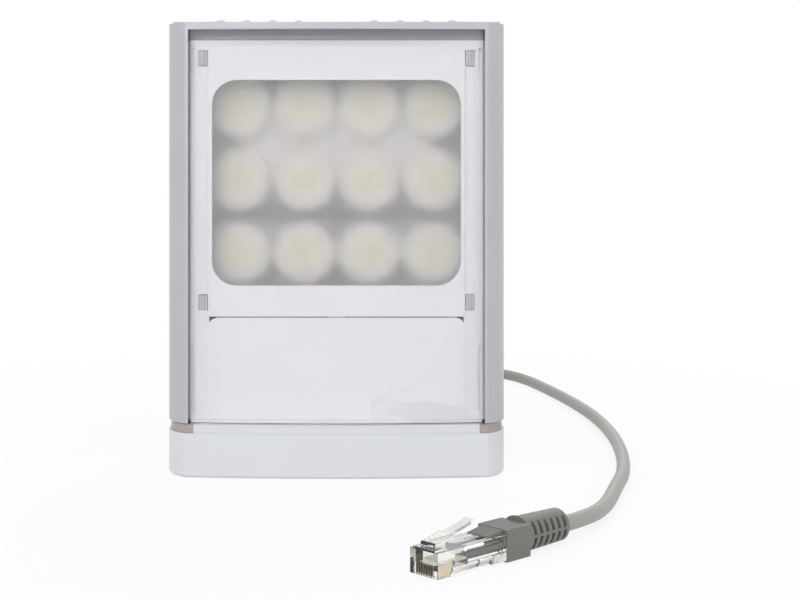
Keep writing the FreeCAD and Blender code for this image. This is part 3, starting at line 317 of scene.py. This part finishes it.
# %% White ABS
white_abs = moulded("white_abs", "e6e6e9", "e0e0e4", 0.40, 0.35, 0.006, IOR=1.54)
white_abs_cap = moulded("white_abs_cap", "dddfe1", "d7d9dc", 0.36, 0.35, 0.006, IOR=1.54)
grey_abs = moulded("natural_abs_clip", "bdb9bc", "b3afb3", 0.42, 0.35, 0.006, IOR=1.54)


# %% [markdown]
# The cover is clear polycarbonate, the window lens is frosted acrylic. Both let lamp light
# through, so what lies behind them has to be lit: for shadow rays they count as simply
# transparent, and what the lens sees is bent and mirrored as in the real sheet.

# %% Clear and frosted sheets
RIPPLE_SIZE, RIPPLE_HEIGHT, RIPPLE_STRENGTH = 30.0, 0.02, 0.15


def clear_sheet(name, tint, ior, roughness, milk=0.0, shade="ffffff"):
    """A moulded transparent sheet. milk is the share of light that it scatters back."""
    material, tree = new_finish(name)
    where = add(tree, "ShaderNodeTexCoord").outputs["Object"]
    ripple = add(tree, "ShaderNodeTexNoise", {"Vector": where,
                                              "Scale": grain_scale(RIPPLE_SIZE)})
    bump = add(tree, "ShaderNodeBump", {"Height": ripple.outputs[0],
                                        "Strength": RIPPLE_STRENGTH,
                                        "Distance": mm(RIPPLE_HEIGHT)})
    shader = add(tree, "ShaderNodeBsdfPrincipled", {
        "Base Color": hex_colour(tint), "Roughness": roughness, "IOR": ior,
        "Transmission Weight": 1.0 - milk, "Normal": bump.outputs[0]})
    through = add(tree, "ShaderNodeBsdfTransparent", {"Color": hex_colour(shade)})
    path = add(tree, "ShaderNodeLightPath")
    both = add(tree, "ShaderNodeMixShader", {0: path.outputs["Is Shadow Ray"],
                                             1: shader.outputs[0], 2: through.outputs[0]})
    add(tree, "ShaderNodeOutputMaterial", {0: both.outputs[0]})
    return material


polycarbonate = clear_sheet("clear_polycarbonate", "fdfdfe", 1.586, 0.02)
plug_clear = clear_sheet("clear_plug_polycarbonate", "f6f6f3", 1.586, 0.03, shade="f4f4f2")
frosted_acrylic = clear_sheet("frosted_acrylic", "f4f3f2", 1.49, 0.5, milk=0.1, shade="fbfaf9")
clear_silicone = clear_sheet("clear_silicone", "e9ebee", 1.41, 0.35, milk=0.3)

# %% [markdown]
# The small parts have finishes of their own: closed cell foam, gasket rubber, stainless
# screws, nylon gland parts, the soft vinyl of the boot and the jacket of the lead, gold plated
# contacts and what is on the circuit boards. The numbers are the roughness, the grain and the
# relief, as above.

# %% Small finishes
# The grey of the foam strip over the chassis is painted shade: it stands in for the shaded recess
# under the bezel's roof.
foam_painted_shade = moulded("grey_foam_painted_shade", "9fa1a6", "919398", 0.8, 0.4, 0.03)
gasket_rubber = moulded("gasket_rubber", "b8b2b0", "968f8d", 0.35, 0.6, 0.01, cloud=2.5)
stainless = moulded("stainless_steel", "c4c6c8", "b2b4b6", 0.3, 0.25, 0.004, Metallic=1.0)
gland_nylon = moulded("grey_nylon", "7c7e81", "707275", 0.45, 0.4, 0.01, IOR=1.53)
lead_jacket = moulded("lead_vinyl", "a3a19c", "9a9893", 0.42, 0.7, 0.02)
boot_vinyl = moulded("boot_vinyl", "797773", "6f6d69", 0.5, 0.5, 0.015)
# The jacket's end inside the plug is the same vinyl as the lead, painted darker: painted shade.
jacket_end = moulded("jacket_end_vinyl_painted_shade", "62615c", "545350", 0.6, 0.5, 0.02)
contact_gold = moulded("gold_plated_bronze", "f4ebd4", "ecdcb6", 0.3, 0.3, 0.003, Metallic=1.0)
solder_resist = moulded("white_solder_resist", "cfcdcf", "c8c6c8", 0.35, 0.4, 0.004)
thermal_filler = moulded("thermal_filler", "8d93a0", "7e8491", 0.7, 0.6, 0.02)
holder_white = moulded("tray_polycarbonate", "e9e6e7", "e1dedf", 0.4, 0.4, 0.006)
phosphor = moulded("emitter_phosphor", "e8cf62", "dfc24e", 0.35, 0.3, 0.004)
ribbon_black = moulded("ribbon_jacket", "211f24", "1b191d", 0.5, 0.5, 0.01)
circuit_green = moulded("circuit_board", "1d6b3c", "175c33", 0.35, 0.6, 0.01)
plated_brass = moulded("nickel_plated_brass", "c9c2a8", "b9b195", 0.3, 0.3, 0.004, Metallic=1.0)
ferrite = moulded("ferrite", "3a3a3c", "2d2d2f", 0.6, 0.4, 0.02)
capacitor_can = moulded("capacitor_sleeve", "2b3350", "222a44", 0.3, 0.5, 0.004)
chip_epoxy = moulded("chip_epoxy", "242426", "1b1b1d", 0.5, 0.3, 0.004)
nylon_natural = moulded("natural_nylon", "dcd8c9", "d0ccbc", 0.45, 0.4, 0.01, IOR=1.53)
lead_curve.materials.append(lead_jacket)
print(len(bpy.data.materials), "materials so far, the frame's own among them")

# %% [markdown]
# The optics over the LEDs are one node, and each is a cream disc that is a little yellower in
# the middle, where the phosphor of its LED shows through, and takes the tray's white at its
# rim. Their columns stand 26 mm apart and their rows 29.4 mm, on whole multiples of it, so a
# wrapped position gives every optic the same picture. The edges below are shares of the
# optic's radius.

# %% Beam optics
COLUMN_PITCH, ROW_PITCH = 26.0, 29.4
OPTIC_RADIUS = 10.9
CORE_RADIUS = 1.0
DISC_EDGE, RIM_EDGE = 0.75, 0.78


def beam_optic(name, core_hex, disc_hex, rim_hex):
    """Acrylic whose colour depends on the distance from the nearest LED's axis."""
    material, tree = new_finish(name)
    place = add(tree, "ShaderNodeSeparateXYZ",
                {0: add(tree, "ShaderNodeTexCoord").outputs["Object"]})
    across = add(tree, "ShaderNodeMath", {0: place.outputs["X"], 1: mm(COLUMN_PITCH), 2: 0.0},
                 operation="WRAP")
    across = add(tree, "ShaderNodeMath", {0: across.outputs[0], 1: mm(COLUMN_PITCH / 2)},
                 operation="SUBTRACT")
    up = add(tree, "ShaderNodeMath", {0: place.outputs["Z"], 1: mm(ROW_PITCH / 2),
                                      2: mm(-ROW_PITCH / 2)}, operation="WRAP")
    from_axis = add(tree, "ShaderNodeCombineXYZ", {0: across.outputs[0], 1: up.outputs[0]})
    radius = add(tree, "ShaderNodeVectorMath", {0: from_axis.outputs[0]}, operation="LENGTH")

    def grows(near, far):
        """0 inside the near radius and 1 outside the far one, in millimetres."""
        limits = {0: radius.outputs["Value"], 1: mm(near), 2: mm(far)}
        return add(tree, "ShaderNodeMapRange", limits,
                   interpolation_type="SMOOTHSTEP").outputs[0]

    disc = add(tree, "ShaderNodeMix", {0: grows(CORE_RADIUS, DISC_EDGE * OPTIC_RADIUS),
                                       6: hex_colour(core_hex), 7: hex_colour(disc_hex)},
               data_type="RGBA")
    colour = add(tree, "ShaderNodeMix", {0: grows(RIM_EDGE * OPTIC_RADIUS, OPTIC_RADIUS),
                                         6: disc.outputs[2], 7: hex_colour(rim_hex)},
                 data_type="RGBA")
    shader = add(tree, "ShaderNodeBsdfPrincipled", {"Base Color": colour.outputs[2],
                                                    "Roughness": 0.25, "IOR": 1.49})
    add(tree, "ShaderNodeOutputMaterial", {0: shader.outputs[0]})
    return material


optic_acrylic = beam_optic("beam_optic_acrylic", "efeac2", "f2f0e6", "e8e6e6")


# %% [markdown]
# The solids come in as loose triangles with knife sharp edges, and no real edge is that sharp.
# A copy is welded, its flat facets are joined and each sharp edge gets a small round, as the
# mould or the blast gave it. The copy then stands for the solid, in the same place. Angles
# below are in degrees and the weld's reach in millimetres.


# %% A mesh becomes a piece
SHARP_ANGLE = 38.0


def finish_piece(bm, name, material, body):
    """Turns a bmesh into a piece: smooth faces, sharp edges kept sharp, riding on a body."""
    crease = math.radians(SHARP_ANGLE)
    for face in bm.faces:
        face.smooth = True
    for edge in bm.edges:
        edge.smooth = not (edge.is_manifold and edge.calc_face_angle(0.0) > crease)
    mesh = bpy.data.meshes.new(name)
    bm.to_mesh(mesh)
    bm.free()
    mesh.materials.append(material)
    piece = bpy.data.objects.new(name, mesh)
    bpy.context.scene.collection.objects.link(piece)
    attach(piece, body)
    flatten = piece.modifiers.new("flat_faces_stay_flat", "WEIGHTED_NORMAL")
    flatten.keep_sharp = True
    print(name, len(mesh.polygons), "faces")
    return piece


# %% Welding and rounding
WELD_REACH = 0.001
FLAT_ANGLE = 0.5
ROUND_ANGLE, ROUND_SEGMENTS = 28.0, 2


def welded_copy(node, flat_faces_joined=True):
    """A bmesh of a solid with its triangles joined."""
    bm = bmesh.new()
    bm.from_mesh(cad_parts[node].data)
    bmesh.ops.remove_doubles(bm, verts=bm.verts, dist=mm(WELD_REACH))
    if flat_faces_joined:
        bmesh.ops.dissolve_limit(bm, angle_limit=math.radians(FLAT_ANGLE), verts=bm.verts,
                                 edges=bm.edges)
    return bm


def round_edges(bm, radius):
    """Rounds every edge that turns by more than the round angle."""
    least = math.radians(ROUND_ANGLE)
    edges = [e for e in bm.edges if e.is_manifold and e.calc_face_angle(0.0) > least]
    bmesh.ops.bevel(bm, geom=edges, offset=mm(radius), segments=ROUND_SEGMENTS, profile=0.5,
                    affect="EDGES", material=-1, clamp_overlap=True)


# %% [markdown]
# A joined flat face that runs round a hole can fold on itself, and the triangles drawn for it
# then close the hole. A sheet would hide what lies behind it, so each rounded copy is measured
# first: the triangles of a face have to cover just that face. A piece that fails, such as the
# chassis with its window, keeps its sharp edges and its triangles.

# %% A rounded copy, where it is sound
LEAST_AREA = 1e-7


def is_sound(bm):
    """Whether the triangles drawn for each face have the face's own area, in square metres."""
    drawn = {}
    for corners in bm.calc_loop_triangles():
        face = corners[0].face
        drawn[face] = drawn.get(face, 0.0) + area_tri(*(corner.vert.co for corner in corners))
    return all(abs(area - face.calc_area()) < LEAST_AREA for face, area in drawn.items())


def rounded(node, suffix, material, radius, body=HOME):
    """A rounded copy that stands for the node, or a plain one where rounding would spoil it."""
    bm = welded_copy(node)
    round_edges(bm, radius)
    if not is_sound(bm):
        print(node, "keeps its sharp edges")
        bm.free()
        bm = welded_copy(node, flat_faces_joined=False)
    piece = finish_piece(bm, f"{node}_{suffix}", material, body)
    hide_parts(node)
    return piece


# %% [markdown]
# The big parts first, with the radius of their edges in millimetres. The housing's edges were
# blasted before coating and are the roundest, the cover's are crisp, and the cap's moulded
# edges lie between.

# %% The big parts
rounded("rear_housing", "casting", powder_coat, 0.45)
rounded("front_cover", "moulding", polycarbonate, 0.12)
rounded("cover_bezel", "moulding", silver_abs, 0.35)
rounded("bottom_cap", "moulding", white_abs_cap, 0.4)
rounded("fascia", "moulding", white_abs, 0.3)
rounded("lens_frame", "moulding", white_abs, 0.25)
rounded("lower_panel", "moulding", white_abs, 0.25)
rounded("cap_gasket", "moulding", gasket_rubber, 0.4)

# %% [markdown]
# The gland is turned and moulded nylon. The boot is soft vinyl, so its edges are well rounded,
# and the plug and its latch are a clear moulding with crisp edges. The clips at the window's
# corners are small mouldings with crisp edges too.

# %% The gland, boot, plug and clips
gland_nut = rounded("gland_nut", "moulding", gland_nylon, 0.4)
gland_sleeve = rounded("gland_sleeve", "moulding", gland_nylon, 0.3)
rounded("gland_body", "moulding", gland_nylon, 0.3)
boot = rounded("plug_boot", "moulding", boot_vinyl, 0.5)
plug = rounded("plug_body", "moulding", plug_clear, 0.12)
latch = rounded("plug_latch", "moulding", plug_clear, 0.15, body="latch")
for level in ("top", "bottom"):
    for side in ("left", "right"):
        rounded(f"lens_clip_{level}_{side}", "moulding", grey_abs, 0.15)

# %% [markdown]
# The window lens and the small and hidden parts keep the meshes of their solids, and only take
# a finish. It goes into the material slot that is already there, so no vertex is touched.


# %% The rest keep their own meshes
def dress(node, material):
    """Gives a solid that keeps its own mesh a better finish."""
    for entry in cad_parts[node].material_slots:
        entry.material = material


FINISHES = {
    "cover_seal": clear_silicone, "diffuser_lens": frosted_acrylic,
    "top_baffle": foam_painted_shade, "cap_screws": stainless,
    "thermal_pad": thermal_filler, "led_board": solder_resist, "board_screws": stainless,
    "led_emitters": phosphor, "led_optics": optic_acrylic, "optic_holders": holder_white,
    "led_supply_ribbon": ribbon_black, "driver_board": circuit_green,
    "driver_standoffs": plated_brass, "driver_screws": stainless, "transformer": ferrite,
    "inductor": ferrite, "capacitors": capacitor_can, "power_chips": chip_epoxy,
    "supply_connector": nylon_natural, "lead_connector": nylon_natural,
    "gland_locknut": gland_nylon, "gland_seal": gasket_rubber, "inner_lead": lead_jacket,
    "plug_contacts": contact_gold, "plug_wires": nylon_natural, "plug_jacket_end": jacket_end,
}
for name, material in FINISHES.items():
    dress(name, material)
print(len(FINISHES), "solids keep their own meshes")
